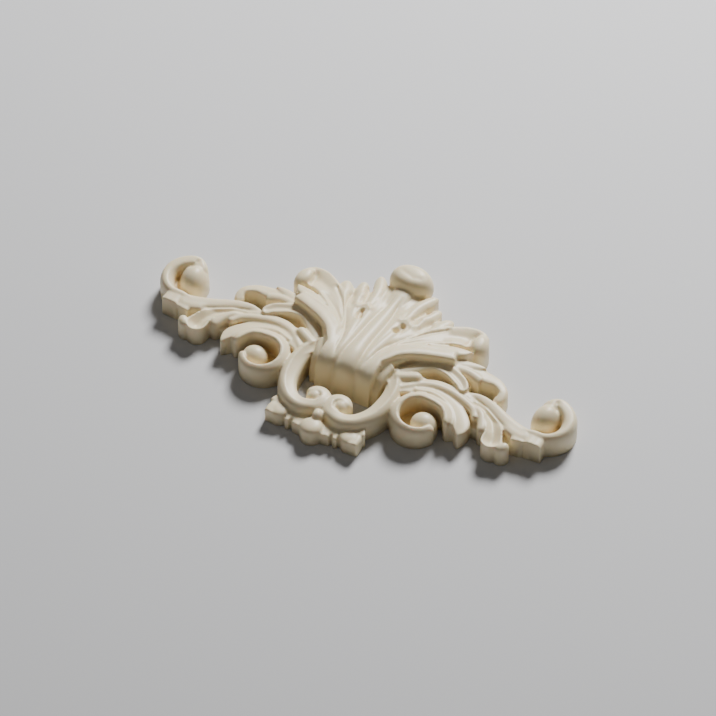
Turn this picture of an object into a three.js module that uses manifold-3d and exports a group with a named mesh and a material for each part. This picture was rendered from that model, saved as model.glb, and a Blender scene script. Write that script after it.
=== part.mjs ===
// Carved-look furniture onlay cast in polyurethane, one piece with a flat back.
// Millimetres, +Z up. The onlay lies on its back: X runs along it, Y from the bud up to
// the rolled tip of the plume. The origin is the middle of the back.

import * as THREE from 'three'
import { mergeVertices } from 'three/addons/utils/BufferGeometryUtils.js'
import Module from 'manifold-3d'

const wasm = await Module()
wasm.setup()

// Overall sizes
const overallLength = 179
const overallWidth = 92
const overallThickness = 16.8

// Places in the tables are drawn at full size and spread with the overall sizes
const spreadX = overallLength / 179
const spreadY = overallWidth / 92

// Heights of the relief above the back
const wingHeight = 9.2
const ringHeight = 10.8
const crestHeight = 6.8
const neckHeight = 16.4
const tipHeight = 10
const groundHeight = 5.2

// Widths, as half widths of the ribbon they belong to
const neckHalfWidth = 12.1
const ringHalfWidth = 3.7
const stemHalfWidth = 2.1
const hookHalfWidth = 3.5
const bandHalfWidth = 1.8
const lobeHalfWidth = 3
const leafHalfWidth = 4.4
const tipHalfWidth = 3.4
const ribHalfWidth = 3.6
const flakeHalfWidth = 1.9
const crestHalfWidth = 2.6
const wingVoluteHalfWidth = 2.6

// Round parts, with the centres of the scrolls
const endBallRadius = 5.7
const endVoluteRadius = 9.6
const endVoluteCentre = [79.2, 38]
const wingVoluteRadius = 8.4
const wingVoluteCentre = [33.5, 16.4]
const wingBossRadius = 4.7
const ringVoluteCentre = [5.4, 7.1]
const ringVoluteRadius = 3.1
const rollRadius = 6.9
const rollHalfLength = 10.2
const leafCurlRadius = 5.4
const endBallHeight = 7.3
const pitFloor = 3.4
const budHalfWidth = 4.8
const beadHalfWidth = 2

// Fineness of the facets
const stepLength = 8.5
const stepTurn = 42
const acrossSteps = 4
const roundSteps = 12

// Cross-sections, left edge to right edge: height at five places, in half widths.
// A pair of them blends from one to the other along the ribbon.
const profiles = {
  soft: [-0.5, -0.14, 0, -0.14, -0.5],
  flat: [-0.14, 0, 0, 0, -0.14],
  level: [0, 0, 0, 0, 0],
  fluted: [-0.12, -0.3, -0.52, -0.3, -0.12],
  rightRidge: [-0.55, -0.5, -0.3, 0, -0.2],
  leftRidge: [-0.1, 0, -0.25, -0.6, -1.1],
  blade: [-0.42, -0.14, -0.06, 0, -0.12],
  gentle: [-0.26, -0.07, 0, -0.07, -0.26],
  dished: [-0.06, -0.16, -0.3, -0.16, 0],
  ringSide: [-0.62, -0.1, -0.13, -0.36, -0.52],
  ringFoot: [-0.75, -0.34, -0.13, 0, -0.35],
  scrollLow: [-1, -0.6, -0.28, -0.06, -0.06],
  scrollHigh: [-0.2, -0.16, -0.1, 0, -0.5],
}

// A turn of a scroll as control rows: x, y, half width, height
function coil({ centre, radius, turn, width, height, rows = 6 }) {
  return Array.from({ length: rows }, (_, i) => {
    const t = i / (rows - 1)
    const angle = THREE.MathUtils.degToRad(THREE.MathUtils.lerp(turn[0], turn[1], t))
    const r = THREE.MathUtils.lerp(radius[0], radius[1], t)
    return [
      centre[0] + r * Math.cos(angle),
      centre[1] + r * Math.sin(angle),
      THREE.MathUtils.lerp(width[0], width[1], t),
      THREE.MathUtils.lerp(height[0], height[1], t),
    ]
  })
}

// The neck bends over at its foot: rows rising from the back to the top of the neck
function neckBend(x, halfWidth, footY, topY, top) {
  const bend = [[0, 0.02], [0.05, 0.5], [0.2, 0.79], [0.5, 0.95], [1, 1]]
  return bend.map(([run, rise]) => [x, footY + (topY - footY) * run, halfWidth, top * rise])
}

const scrolls = {
  stem: {
    rows: [
      [43, 34.2, stemHalfWidth * 0.7, wingHeight * 0.88],
      [50, 36, stemHalfWidth, wingHeight * 0.9],
      [57, 33.8, stemHalfWidth * 1.33, wingHeight * 0.93],
      [64, 30.2, stemHalfWidth * 1.52, wingHeight * 0.96],
      [71, 27.4, stemHalfWidth * 1.7, wingHeight * 0.99],
      [77, 26.6, stemHalfWidth * 1.62, wingHeight],
    ],
    profile: 'flat',
    ends: ['square', 'square'],
  },
  endScroll: {
    rows: [
      [64, 30.6, stemHalfWidth * 1.14, wingHeight * 0.94],
      [70.5, 28.9, stemHalfWidth, wingHeight * 0.98],
      ...coil({
        centre: endVoluteCentre,
        radius: [endVoluteRadius, endVoluteRadius * 0.79],
        turn: [-104, 92],
        width: [stemHalfWidth * 0.9, stemHalfWidth * 1.29],
        height: [wingHeight, wingHeight * 1.16],
        rows: 7,
      }),
      [77.2, 43.6, stemHalfWidth * 1.67, wingHeight * 1.24],
      [74.8, 41.4, stemHalfWidth * 1.38, wingHeight * 1.18],
    ],
    profile: ['scrollLow', 'scrollHigh'],
  },
  wingVolute: {
    rows: [
      [46.9, 16.4, wingVoluteHalfWidth * 0.77, wingHeight * 1.16],
      [45.2, 20.4, wingVoluteHalfWidth * 0.88, wingHeight * 1.2],
      [41.4, 23.8, wingVoluteHalfWidth * 0.92, wingHeight * 1.27],
      ...coil({
        centre: wingVoluteCentre,
        radius: [wingVoluteRadius * 1.01, wingVoluteRadius],
        turn: [82, 332],
        width: [wingVoluteHalfWidth, wingVoluteHalfWidth * 0.5],
        height: [wingHeight * 1.34, wingHeight * 1.02],
        rows: 8,
      }),
      [41.4, 14.6, wingVoluteHalfWidth * 0.38, wingHeight * 0.9],
    ],
    profile: 'leftRidge',
  },
  ring: {
    rows: [
      [13.4, 34.8, ringHalfWidth * 0.5, ringHeight * 1.06],
      [17.4, 29.8, ringHalfWidth * 0.7, ringHeight * 1.05],
      [19.8, 24.2, ringHalfWidth * 0.92, ringHeight * 1.04],
      [20.4, 17.6, ringHalfWidth, ringHeight],
      [18.8, 9.2, ringHalfWidth, ringHeight * 0.96],
      [14.6, 3.2, ringHalfWidth * 0.96, ringHeight * 0.93],
      [9.6, 0.9, ringHalfWidth * 0.88, ringHeight * 0.91],
      ...coil({
        centre: ringVoluteCentre,
        radius: [ringVoluteRadius * 1.7, ringVoluteRadius * 0.84],
        turn: [262, 0],
        width: [ringHalfWidth * 0.74, ringHalfWidth * 0.51],
        height: [ringHeight * 0.9, ringHeight * 0.86],
        rows: 7,
      }),
    ],
    profile: ['ringSide', 'ringFoot'],
  },
  hook: {
    rows: [
      [17.6, 31.8, hookHalfWidth * 0.57, wingHeight * 1.2],
      [22, 36, hookHalfWidth * 0.69, wingHeight * 1.2],
      [29, 42, hookHalfWidth * 0.86, wingHeight * 1.16],
      [36, 46, hookHalfWidth * 0.97, wingHeight * 1.08],
      [42, 46.9, hookHalfWidth, wingHeight * 0.98],
      [48, 46.8, hookHalfWidth * 0.94, wingHeight * 0.93],
      [53, 46.2, hookHalfWidth * 0.69, wingHeight * 0.92],
      [56.8, 43.4, hookHalfWidth * 0.49, wingHeight * 0.9],
      [57.6, 39.8, hookHalfWidth * 0.46, wingHeight * 0.85],
      [56.2, 37.2, hookHalfWidth * 0.54, wingHeight * 0.78],
    ],
    profile: 'blade',
  },
}

const lobes = {
  squareLobe: {
    rows: [[79, 29.5, lobeHalfWidth * 1.2, wingHeight], [79.2, 23.3, lobeHalfWidth * 1.23, wingHeight * 1.02]],
    profile: 'flat',
    ends: ['square', 'square'],
  },
  notchLobe: {
    rows: [[71.4, 28, lobeHalfWidth * 0.83, wingHeight * 0.95], [73.3, 22.2, lobeHalfWidth * 0.8, wingHeight * 0.96]],
    profile: 'flat',
    ends: ['square', 'square'],
  },
  flutedLobe: {
    rows: [
      [50, 32.9, lobeHalfWidth * 0.5, wingHeight * 0.9],
      [58.8, 29, lobeHalfWidth * 0.87, wingHeight * 0.97],
      [63.6, 22.8, lobeHalfWidth * 1.07, wingHeight],
      [65.4, 18.4, lobeHalfWidth * 1.17, wingHeight * 0.97],
      [65.9, 14.9, lobeHalfWidth * 1.2, wingHeight * 0.95],
    ],
    profile: 'fluted',
  },
  tipCurl: {
    rows: [[67.6, 17.6, bandHalfWidth * 1.06, wingHeight * 0.92], [69.8, 18.2, bandHalfWidth * 1.06, wingHeight * 0.98], [70.3, 20.4, bandHalfWidth * 0.83, wingHeight * 0.98]],
    profile: 'gentle',
  },
  smallLobe: {
    rows: [
      [49, 31.4, lobeHalfWidth * 0.4, wingHeight * 0.9],
      [55, 28.8, lobeHalfWidth * 0.58, wingHeight * 0.98],
      [59.3, 20.8, lobeHalfWidth * 0.7, wingHeight * 0.94],
    ],
    profile: 'soft',
  },
  wideLobe: {
    rows: [
      [27, 27.4, lobeHalfWidth * 0.6, wingHeight * 1.13],
      [35, 30, lobeHalfWidth * 0.9, wingHeight * 1.08],
      [44, 27.4, lobeHalfWidth * 1.1, wingHeight * 1.03],
      [50, 20.9, lobeHalfWidth * 1.27, wingHeight * 1.01],
      [51.4, 16.6, lobeHalfWidth * 1.3, wingHeight * 0.98],
    ],
    profile: 'rightRidge',
    ends: ['square', 'square'],
  },
  upperBand: {
    rows: [
      [20.4, 23.6, bandHalfWidth * 0.78, wingHeight * 1.16],
      [30, 32, bandHalfWidth * 1.06, wingHeight * 1.08],
      [39, 33.4, bandHalfWidth * 1.06, wingHeight * 1.02],
      [50, 30.4, bandHalfWidth, wingHeight * 0.95],
      [54, 25.6, bandHalfWidth * 0.67, wingHeight * 0.95],
    ],
    profile: 'flat',
  },
  topBand: {
    rows: [
      [20.6, 26.6, bandHalfWidth * 0.72, wingHeight * 1.08],
      [33, 34.6, bandHalfWidth * 0.83, wingHeight * 1.01],
      [42, 34.9, bandHalfWidth * 0.89, wingHeight * 0.94],
      [51, 33.4, bandHalfWidth * 0.94, wingHeight * 0.9],
    ],
    profile: 'flat',
  },
  innerLeaf: {
    rows: [[33, 44.4, bandHalfWidth * 0.89, wingHeight * 1.1], [41, 45.2, bandHalfWidth * 1.22, wingHeight * 1.06], [47.2, 44.2, bandHalfWidth * 1.33, wingHeight * 0.98]],
    profile: 'flat',
    ends: ['square', 'square'],
  },
  tongue: {
    rows: [
      [19.6, 33.4, hookHalfWidth * 0.34, wingHeight * 1.24],
      [27, 39.8, hookHalfWidth * 0.54, wingHeight * 1.24],
      [34, 41.3, hookHalfWidth * 0.71, wingHeight * 1.2],
      [41.2, 38.4, hookHalfWidth * 0.74, wingHeight * 1.15],
      [44.2, 34.8, hookHalfWidth * 0.49, wingHeight * 1.1],
    ],
    profile: 'fluted',
  },
  hookTip: {
    rows: [[35, 46.6, hookHalfWidth * 0.8, wingHeight * 1.08], [41, 48.8, hookHalfWidth * 0.57, wingHeight * 1.02], [46.4, 50.2, hookHalfWidth * 0.26, wingHeight * 0.97]],
    profile: 'flat',
    ends: ['square', 'point'],
  },
  blockTip: {
    rows: [[18, 28.4, lobeHalfWidth * 0.8, wingHeight * 1.3], [27, 33.1, lobeHalfWidth * 0.87, wingHeight * 1.32]],
    profile: 'soft',
    ends: ['square', 'square'],
  },
  wingRoot: {
    rows: [[17.6, 23.4, lobeHalfWidth * 1.13, wingHeight * 1.1], [24.6, 28.8, lobeHalfWidth * 1.47, wingHeight * 1.06], [31, 32.2, lobeHalfWidth, wingHeight * 0.98]],
    profile: 'level',
    ends: ['square', 'square'],
  },
  wingGround: {
    rows: [
      [19, 24.6, lobeHalfWidth * 1.13, groundHeight * 1.4],
      [27, 27.6, lobeHalfWidth * 1.67, groundHeight * 1.2],
      [48, 29.4, lobeHalfWidth * 2.13, groundHeight],
      [66, 26.4, lobeHalfWidth * 1.47, groundHeight],
      [79, 27, lobeHalfWidth, groundHeight],
    ],
    profile: 'level',
    ends: ['square', 'square'],
  },
  hookGround: {
    rows: [[15.5, 31.6, hookHalfWidth * 0.97, groundHeight * 1.5], [31, 38.4, hookHalfWidth * 1.31, groundHeight * 1.3], [44.6, 39.4, hookHalfWidth * 1.2, groundHeight * 0.9]],
    profile: 'level',
    ends: ['square', 'square'],
  },
  leafGround: {
    rows: [
      [6, 28, leafHalfWidth * 1.36, neckHeight * 0.93],
      [10.5, 37, leafHalfWidth * 1.59, neckHeight * 0.87],
      [16.5, 47, leafHalfWidth * 1.82, neckHeight * 0.78],
      [20, 51.5, leafHalfWidth * 1.36, neckHeight * 0.71],
    ],
    profile: 'flat',
    ends: ['square', 'square'],
  },
}

const crest = {
  crestBand: {
    rows: [[-3, -3, crestHalfWidth, crestHeight], [8, -3.6, crestHalfWidth * 0.96, crestHeight * 0.98], [15, -1.8, crestHalfWidth, crestHeight], [18, 0.8, crestHalfWidth * 0.73, crestHeight]],
    profile: 'flat',
  },
  cornerLobe: {
    rows: [[14.6, 0, crestHalfWidth, crestHeight], [15.6, -3, crestHalfWidth * 1.5, crestHeight * 1.14], [16.2, -6.9, crestHalfWidth * 1.62, crestHeight * 1.16]],
    profile: 'soft',
    ends: ['square', 'square'],
  },
  sideTip: {
    rows: [[16.4, -0.6, flakeHalfWidth * 0.79, crestHeight], [19.4, 0.4, flakeHalfWidth * 0.79, crestHeight * 1.1]],
    profile: 'flat',
    ends: ['square', 'square'],
  },
  firstFlake: { rows: [[6.2, -2, flakeHalfWidth * 0.84, crestHeight], [6.4, -7.2, flakeHalfWidth, crestHeight * 1.02]], profile: 'flat' },
  secondFlake: { rows: [[10, -2, flakeHalfWidth * 0.84, crestHeight], [10.3, -6.4, flakeHalfWidth * 0.89, crestHeight * 1.02]], profile: 'flat' },
}

const plume = {
  rightLeaf: {
    rows: [
      ...neckBend(10, leafHalfWidth * 0.48, 17.6, 29, neckHeight * 0.975),
      [11.4, 32, leafHalfWidth * 0.57, neckHeight * 0.97],
      [14.4, 37.2, leafHalfWidth * 0.7, neckHeight * 0.96],
      [20, 41.6, leafHalfWidth * 0.8, neckHeight * 0.93],
      [28, 45.2, leafHalfWidth * 0.78, neckHeight * 0.88],
      [34.4, 47.3, leafHalfWidth * 0.7, neckHeight * 0.83],
    ],
    profile: 'blade',
    ends: ['square', 'square'],
  },
  rightLeafTip: {
    rows: [
      [24, 46, tipHalfWidth * 0.88, neckHeight * 0.8],
      [31, 49.4, tipHalfWidth * 0.94, neckHeight * 0.76],
      [35.6, 51.4, tipHalfWidth * 0.65, neckHeight * 0.72],
      [38.6, 53.4, tipHalfWidth * 0.24, neckHeight * 0.67],
    ],
    profile: 'flat',
    ends: ['square', 'point'],
  },
  curlLeaf: {
    rows: [
      [10.6, 34, leafHalfWidth * 0.36, neckHeight * 0.93],
      [14.4, 43, leafHalfWidth * 0.64, neckHeight * 0.87],
      [20.4, 51.2, leafHalfWidth * 0.95, neckHeight * 0.79],
      [27, 57.4, leafHalfWidth * 1.23, neckHeight * 0.71],
      [33.4, 60.4, leafHalfWidth * 1.27, neckHeight * 0.66],
      [37.8, 60.4, leafHalfWidth * 1.11, tipHeight * 1.06],
      [40.4, 59.4, leafHalfWidth * 0.91, tipHeight],
    ],
    profile: 'dished',
  },
  firstTip: {
    rows: [
      [14.2, 46, tipHalfWidth * 0.56, neckHeight * 0.82],
      [17.6, 53, tipHalfWidth * 0.79, neckHeight * 0.745],
      [21, 60, tipHalfWidth * 1.03, tipHeight * 1.12],
      [23.9, 65.8, tipHalfWidth * 0.68, tipHeight * 1.02],
    ],
    profile: 'gentle',
  },
  secondTip: {
    rows: [
      [11.4, 48, tipHalfWidth * 0.79, neckHeight * 0.8],
      [13.2, 56, tipHalfWidth * 0.94, neckHeight * 0.72],
      [15.2, 62.6, tipHalfWidth * 0.97, tipHeight * 1.12],
      [17.1, 68.8, tipHalfWidth * 0.65, tipHeight * 1.02],
    ],
    profile: 'gentle',
  },
  thirdTip: {
    rows: [
      [6.2, 42, tipHalfWidth * 0.71, neckHeight * 0.87],
      [8.2, 54, tipHalfWidth * 0.88, neckHeight * 0.78],
      [10.6, 65, tipHalfWidth * 0.97, tipHeight * 1.12],
      [12.2, 74.2, tipHalfWidth * 0.65, tipHeight * 1.02],
    ],
    profile: 'gentle',
  },
  sideRib: {
    rows: [
      ...neckBend(6.8, ribHalfWidth * 1.08, 17.7, 29.6, neckHeight * 0.985),
      [6.6, 36, ribHalfWidth * 1.03, neckHeight * 0.955],
      [6.4, 46, ribHalfWidth, neckHeight * 0.87],
      [8.2, 57, ribHalfWidth * 0.94, neckHeight * 0.755],
      [10.4, 65, ribHalfWidth * 0.67, tipHeight * 1.08],
    ],
    profile: 'gentle',
    ends: ['square', 'point'],
  },
}

const middle = {
  neckGround: {
    rows: [
      ...neckBend(0, neckHalfWidth * 0.92, 18.6, 30, neckHeight * 0.92),
      [0, 36, neckHalfWidth * 0.98, neckHeight * 0.89],
      [0, 50, neckHalfWidth * 0.98, neckHeight * 0.76],
      [0, 62, neckHalfWidth * 0.93, neckHeight * 0.66],
      [0, 74, neckHalfWidth * 0.74, neckHeight * 0.62],
      [0, 79, neckHalfWidth * 0.7, neckHeight * 0.5],
    ],
    profile: 'flat',
    ends: ['square', 'square'],
  },
  crestGround: {
    rows: [[-9, -1.6, crestHalfWidth, crestHeight * 0.7], [9, -1.6, crestHalfWidth, crestHeight * 0.7]],
    profile: 'level',
    ends: ['square', 'square'],
  },
  centreRib: {
    rows: [
      ...neckBend(0, ribHalfWidth * 1.44, 17.5, 29.4, neckHeight),
      [0, 33, ribHalfWidth * 1.17, neckHeight * 0.985],
      [0, 38, ribHalfWidth * 0.97, neckHeight * 0.95],
      [0, 47, ribHalfWidth * 0.94, neckHeight * 0.86],
      [0, 60, ribHalfWidth * 0.94, neckHeight * 0.75],
      [0, 73, ribHalfWidth * 1.39, neckHeight * 0.74],
    ],
    profile: 'gentle',
    ends: ['square', 'square'],
  },
}

// Bosses: centre, radii, turn in degrees; the ones on a stalk reach down to the back
const bosses = {
  endBall: {
    centre: [77.6, 39.9, wingHeight * 0.48],
    radii: [endBallRadius, endBallRadius * 1.26, endBallHeight],
    turn: -10,
  },
  wingBoss: {
    centre: [36.9, 16, wingHeight * 0.54],
    radii: [wingBossRadius * 1.12, wingBossRadius * 1.04, wingBossRadius],
  },
  leafCurl: {
    centre: [37.6, 59.9, tipHeight * 0.54],
    radii: [leafCurlRadius * 0.78, leafCurlRadius, leafCurlRadius],
    turn: 14,
  },
  ringDish: {
    centre: [5.6, 7.2, ringHeight * 0.56],
    radii: [ringVoluteRadius * 1.16, ringVoluteRadius * 1.16, ringHeight * 0.25],
  },
  wingPit: {
    centre: [33.6, 16.8, pitFloor * 0.6],
    radii: [wingVoluteRadius * 0.98, wingVoluteRadius * 0.98, pitFloor * 0.4],
  },
  endPit: {
    centre: [80.6, 38.2, pitFloor * 0.6],
    radii: [endVoluteRadius * 0.72, endVoluteRadius * 0.74, pitFloor * 0.4],
  },
}

const middleBosses = {
  bud: {
    centre: [0, -5.8, crestHeight * 0.74],
    radii: [budHalfWidth * 0.96, budHalfWidth * 0.88, crestHeight * 0.6],
  },
  bead: {
    centre: [0, 0.1, crestHeight * 0.9],
    radii: [beadHalfWidth * 1.05, beadHalfWidth * 1.75, crestHeight * 0.43],
  },
  rollFoot: {
    centre: [0, 74.8, tipHeight * 0.6],
    radii: [rollHalfLength * 0.9, rollRadius * 0.96, tipHeight * 0.15],
  },
  roll: {
    centre: [0, 75.8, tipHeight * 0.9],
    radii: [rollHalfLength, rollRadius, rollRadius * 0.96],
    floating: true,
  },
}

function splineAt(points, t) {
  return new THREE.CatmullRomCurve3(points, false, 'catmullrom', 0.5).getPoint(THREE.MathUtils.clamp(t, 0, 1))
}

// Height across a ribbon at v, -1 on the left edge and 1 on the right edge
function profileHeight(profile, v, t) {
  const [first, last] = [profile].flat().length > 1 ? profile : [profile, profile]
  const blend = THREE.MathUtils.smoothstep(t, 0.25, 0.65)
  const points = profiles[first].map((height, i) => (
    new THREE.Vector3(i, THREE.MathUtils.lerp(height, profiles[last][i], blend), 0)
  ))
  return splineAt(points, (v + 1) / 2).y
}

// Stations along a spine, closer together where it turns and round a rounded end
function stations(path, ends, halfWidths) {
  const fine = 160
  const points = Array.from({ length: fine + 1 }, (_, i) => path.getPoint(i / fine))
  const run = [0]
  const cost = [0]
  let lastStep = points[1].clone().sub(points[0])
  for (let i = 1; i <= fine; i++) {
    const step = points[i].clone().sub(points[i - 1])
    const turn = lastStep.angleTo(step)
    lastStep = step
    run.push(run[i - 1] + step.length())
    cost.push(cost[i - 1] + step.length() / stepLength + THREE.MathUtils.radToDeg(turn) / stepTurn)
  }
  const total = run[fine]
  const inset = ends.map((kind, end) => (kind === 'round' ? Math.min(halfWidths[end], total / 3) : 0))
  const find = (list, wanted) => {
    let k = 0
    while (k < fine - 1 && list[k + 1] < wanted) k++
    const share = (wanted - list[k]) / Math.max(list[k + 1] - list[k], 1e-9)
    return (k + THREE.MathUtils.clamp(share, 0, 1)) / fine
  }
  const costAt = (t) => THREE.MathUtils.lerp(cost[Math.floor(t * fine)], cost[Math.min(Math.floor(t * fine) + 1, fine)], (t * fine) % 1)
  const from = find(run, inset[0])
  const to = find(run, total - inset[1])
  const count = Math.max(2, Math.ceil(costAt(to) - costAt(from)))
  const at = []
  if (ends[0] === 'round') at.push(...[0, 0.12, 0.45].map((share) => find(run, share * inset[0])))
  for (let k = 0; k <= count; k++) at.push(find(cost, THREE.MathUtils.lerp(costAt(from), costAt(to), k / count)))
  if (ends[1] === 'round') at.push(...[0.45, 0.12, 0].map((share) => find(run, total - share * inset[1])))
  const runAt = (t) => THREE.MathUtils.lerp(run[Math.floor(t * fine)], run[Math.min(Math.floor(t * fine) + 1, fine)], (t * fine) % 1)
  return { at, reach: at.map((t) => [runAt(t), total - runAt(t)]) }
}

// Share of the half width left at a distance from an end
function endTaper(kind, distance, halfWidth) {
  if (kind === 'square') return 1
  const k = THREE.MathUtils.clamp(1 - distance / (kind === 'point' ? halfWidth * 4 : halfWidth), 0, 1)
  return Math.max(kind === 'point' ? 1 - k ** 1.6 : Math.sqrt(1 - k * k), 0.26)
}

// A ribbon is a box whose top follows the spine and profile and whose foot is below the back
function ribbon({ rows, profile, ends = ['square', 'round'] }) {
  const spine = rows.map(([x, y, , z]) => new THREE.Vector3(x, y, z))
  const path = new THREE.CatmullRomCurve3(spine, false, 'catmullrom', 0.5)
  const widths = rows.map(([, , width]) => new THREE.Vector3(width, 0, 0))
  const endWidths = [rows[0][2], rows[rows.length - 1][2]]
  const { at, reach } = stations(path, ends, endWidths)
  const steps = at.length - 1
  const across = { level: 1, flat: 2 }[profile] ?? acrossSteps
  const shape = new THREE.BoxGeometry(1, 1, 1, steps, across, 1)
  const position = shape.attributes.position
  for (let i = 0; i < position.count; i++) {
    const station = Math.round((position.getX(i) + 0.5) * steps)
    const t = at[station]
    const v = -2 * position.getY(i)
    const centre = path.getPoint(t)
    const before = path.getPoint(Math.max(t - 0.004, 0))
    const after = path.getPoint(Math.min(t + 0.004, 1))
    const along = new THREE.Vector2(after.x - before.x, after.y - before.y).normalize()
    const fullWidth = splineAt(widths, t).x
    const taper = ends.reduce((share, kind, end) => share * endTaper(kind, reach[station][end], endWidths[end]), 1)
    const halfWidth = fullWidth * taper
    const top = centre.z + (profileHeight(profile, v, t) * taper - 0.3 * (1 - taper)) * fullWidth
    position.setXYZ(
      i,
      (centre.x + along.y * v * halfWidth) * spreadX,
      (centre.y - along.x * v * halfWidth) * spreadY,
      position.getZ(i) > 0 ? Math.max(top, 0.6) : -1,
    )
  }
  return shape
}

// A boss is turned like a knob: a dome on a straight stalk, or a whole ball
function boss({ centre, radii, turn = 0, floating = false }) {
  const outline = []
  const arcSteps = Math.round(roundSteps / 3)
  if (floating) {
    for (let i = 0; i <= arcSteps * 2; i++) {
      const angle = -Math.PI / 2 + (i / (arcSteps * 2)) * Math.PI
      outline.push(new THREE.Vector2(Math.cos(angle) ** 0.7, Math.sin(angle)))
    }
    outline[0].x = 0
    outline[outline.length - 1].x = 0
  } else {
    outline.push(new THREE.Vector2(0, -(centre[2] + 1) / radii[2]), new THREE.Vector2(1, -(centre[2] + 1) / radii[2]))
    for (let i = 0; i <= arcSteps; i++) {
      const angle = (i / arcSteps) * (Math.PI / 2)
      outline.push(new THREE.Vector2(i === arcSteps ? 0 : Math.cos(angle), Math.sin(angle)))
    }
  }
  const shape = new THREE.LatheGeometry(outline, roundSteps)
  shape.rotateX(Math.PI / 2)
  shape.scale(...radii)
  shape.rotateZ(THREE.MathUtils.degToRad(turn))
  shape.translate(...centre)
  shape.scale(spreadX, spreadY, 1)
  return shape
}

function toSolid(shape) {
  const bare = shape.clone()
  bare.deleteAttribute('normal')
  bare.deleteAttribute('uv')
  const merged = mergeVertices(bare, 1e-4)
  return new wasm.Manifold(new wasm.Mesh({
    numProp: 3,
    vertProperties: new Float32Array(merged.attributes.position.array),
    triVerts: new Uint32Array(merged.index.array),
  }))
}

function toGeometry(solid) {
  const mesh = solid.getMesh()
  const shape = new THREE.BufferGeometry()
  shape.setAttribute('position', new THREE.BufferAttribute(new Float32Array(mesh.vertProperties), 3))
  shape.setIndex(new THREE.BufferAttribute(new Uint32Array(mesh.triVerts), 1))
  shape.computeVertexNormals()
  return shape
}

function join(solids) {
  let level = solids
  while (level.length > 1) {
    const next = []
    for (let i = 0; i < level.length; i += 2) {
      next.push(i + 1 < level.length ? level[i].add(level[i + 1]) : level[i])
    }
    level = next
  }
  return level[0]
}

const halfShapes = [
  ...Object.values({ ...scrolls, ...lobes, ...crest, ...plume }).map(ribbon),
  ...Object.values(bosses).map(boss),
]
const middleShapes = [
  ...Object.values(middle).map(ribbon),
  ...Object.values(middleBosses).map(boss),
]

// The left half is the right half mirrored; the back is cut flat
const half = join(halfShapes.map(toSolid))
const whole = join([half, half.mirror([1, 0, 0]), ...middleShapes.map(toSolid)])
const backCut = new THREE.BoxGeometry(overallLength * 2, overallWidth * 4, overallThickness)
backCut.translate(0, 0, -overallThickness / 2)
const carved = whole.subtract(toSolid(backCut))

// Brought to the overall sizes, with the middle of the back at the origin
const box = carved.boundingBox()
const middleY = (box.min[1] + box.max[1]) / 2
const sized = carved
  .translate([0, -middleY, 0])
  .scale([
    overallLength / (box.max[0] - box.min[0]),
    overallWidth / (box.max[1] - box.min[1]),
    overallThickness / box.max[2],
  ])

const ivory = new THREE.MeshStandardMaterial({ color: 0xe4dcc6, roughness: 0.55, metalness: 0 })

const onlay = new THREE.Mesh(toGeometry(sized), ivory)
onlay.name = 'onlay'

const group = new THREE.Group()
group.add(onlay)

export default group
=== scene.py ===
import math

import bpy
import numpy as np
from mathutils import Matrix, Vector


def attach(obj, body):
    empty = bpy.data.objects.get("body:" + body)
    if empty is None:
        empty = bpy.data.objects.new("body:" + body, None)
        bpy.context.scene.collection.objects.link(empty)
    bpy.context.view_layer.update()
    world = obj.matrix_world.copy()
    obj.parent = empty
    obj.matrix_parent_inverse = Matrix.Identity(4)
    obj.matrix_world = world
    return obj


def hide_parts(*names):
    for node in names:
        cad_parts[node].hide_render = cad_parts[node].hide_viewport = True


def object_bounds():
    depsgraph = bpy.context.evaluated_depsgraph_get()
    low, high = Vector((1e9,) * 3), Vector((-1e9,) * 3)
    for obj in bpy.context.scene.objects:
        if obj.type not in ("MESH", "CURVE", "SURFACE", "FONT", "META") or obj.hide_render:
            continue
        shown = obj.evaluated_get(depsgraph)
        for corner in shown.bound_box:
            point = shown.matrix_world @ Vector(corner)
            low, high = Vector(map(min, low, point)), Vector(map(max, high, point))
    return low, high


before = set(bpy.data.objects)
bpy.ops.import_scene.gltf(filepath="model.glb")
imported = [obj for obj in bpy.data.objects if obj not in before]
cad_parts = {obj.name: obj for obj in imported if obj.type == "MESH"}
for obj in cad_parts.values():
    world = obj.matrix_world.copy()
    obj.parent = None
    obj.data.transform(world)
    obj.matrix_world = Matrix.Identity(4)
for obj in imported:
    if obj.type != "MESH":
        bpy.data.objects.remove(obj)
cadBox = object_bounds()
mm = 0.001


def deselectAll():
    if bpy.context.mode != "OBJECT":
        bpy.ops.object.mode_set(mode="OBJECT")
    bpy.ops.object.select_all(action="DESELECT")


def activate(piece):
    deselectAll()
    piece.select_set(True)
    bpy.context.view_layer.objects.active = piece


def startEditing():
    bpy.ops.object.mode_set(mode="EDIT")
    bpy.ops.mesh.select_all(action="SELECT")


def applyModifier(piece, name, kind, **settings):
    modifier = piece.modifiers.new(name, kind)
    for key, value in settings.items():
        setattr(modifier, key, value)
    bpy.ops.object.modifier_apply(modifier=modifier.name)


def getPlaces(mesh):
    places = np.empty(len(mesh.vertices) * 3)
    mesh.vertices.foreach_get("co", places)
    return places.reshape(-1, 3)


def getNormals(mesh):
    normals = np.empty(len(mesh.vertices) * 3)
    mesh.vertices.foreach_get("normal", normals)
    return normals.reshape(-1, 3)


def setPlaces(mesh, places):
    mesh.vertices.foreach_set("co", places.ravel())
    mesh.update()


def ramp(values, start, full):
    # 0 up to start, 1 from full on
    return np.clip((values - start) / (full - start), 0, 1)


deselectAll()

# The relief is drawn in millimetres, right half only: x from the middle line, y from the
# bottom of the ring, z up from the back. A ribbon's rows are x, y, half width, height.

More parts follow.
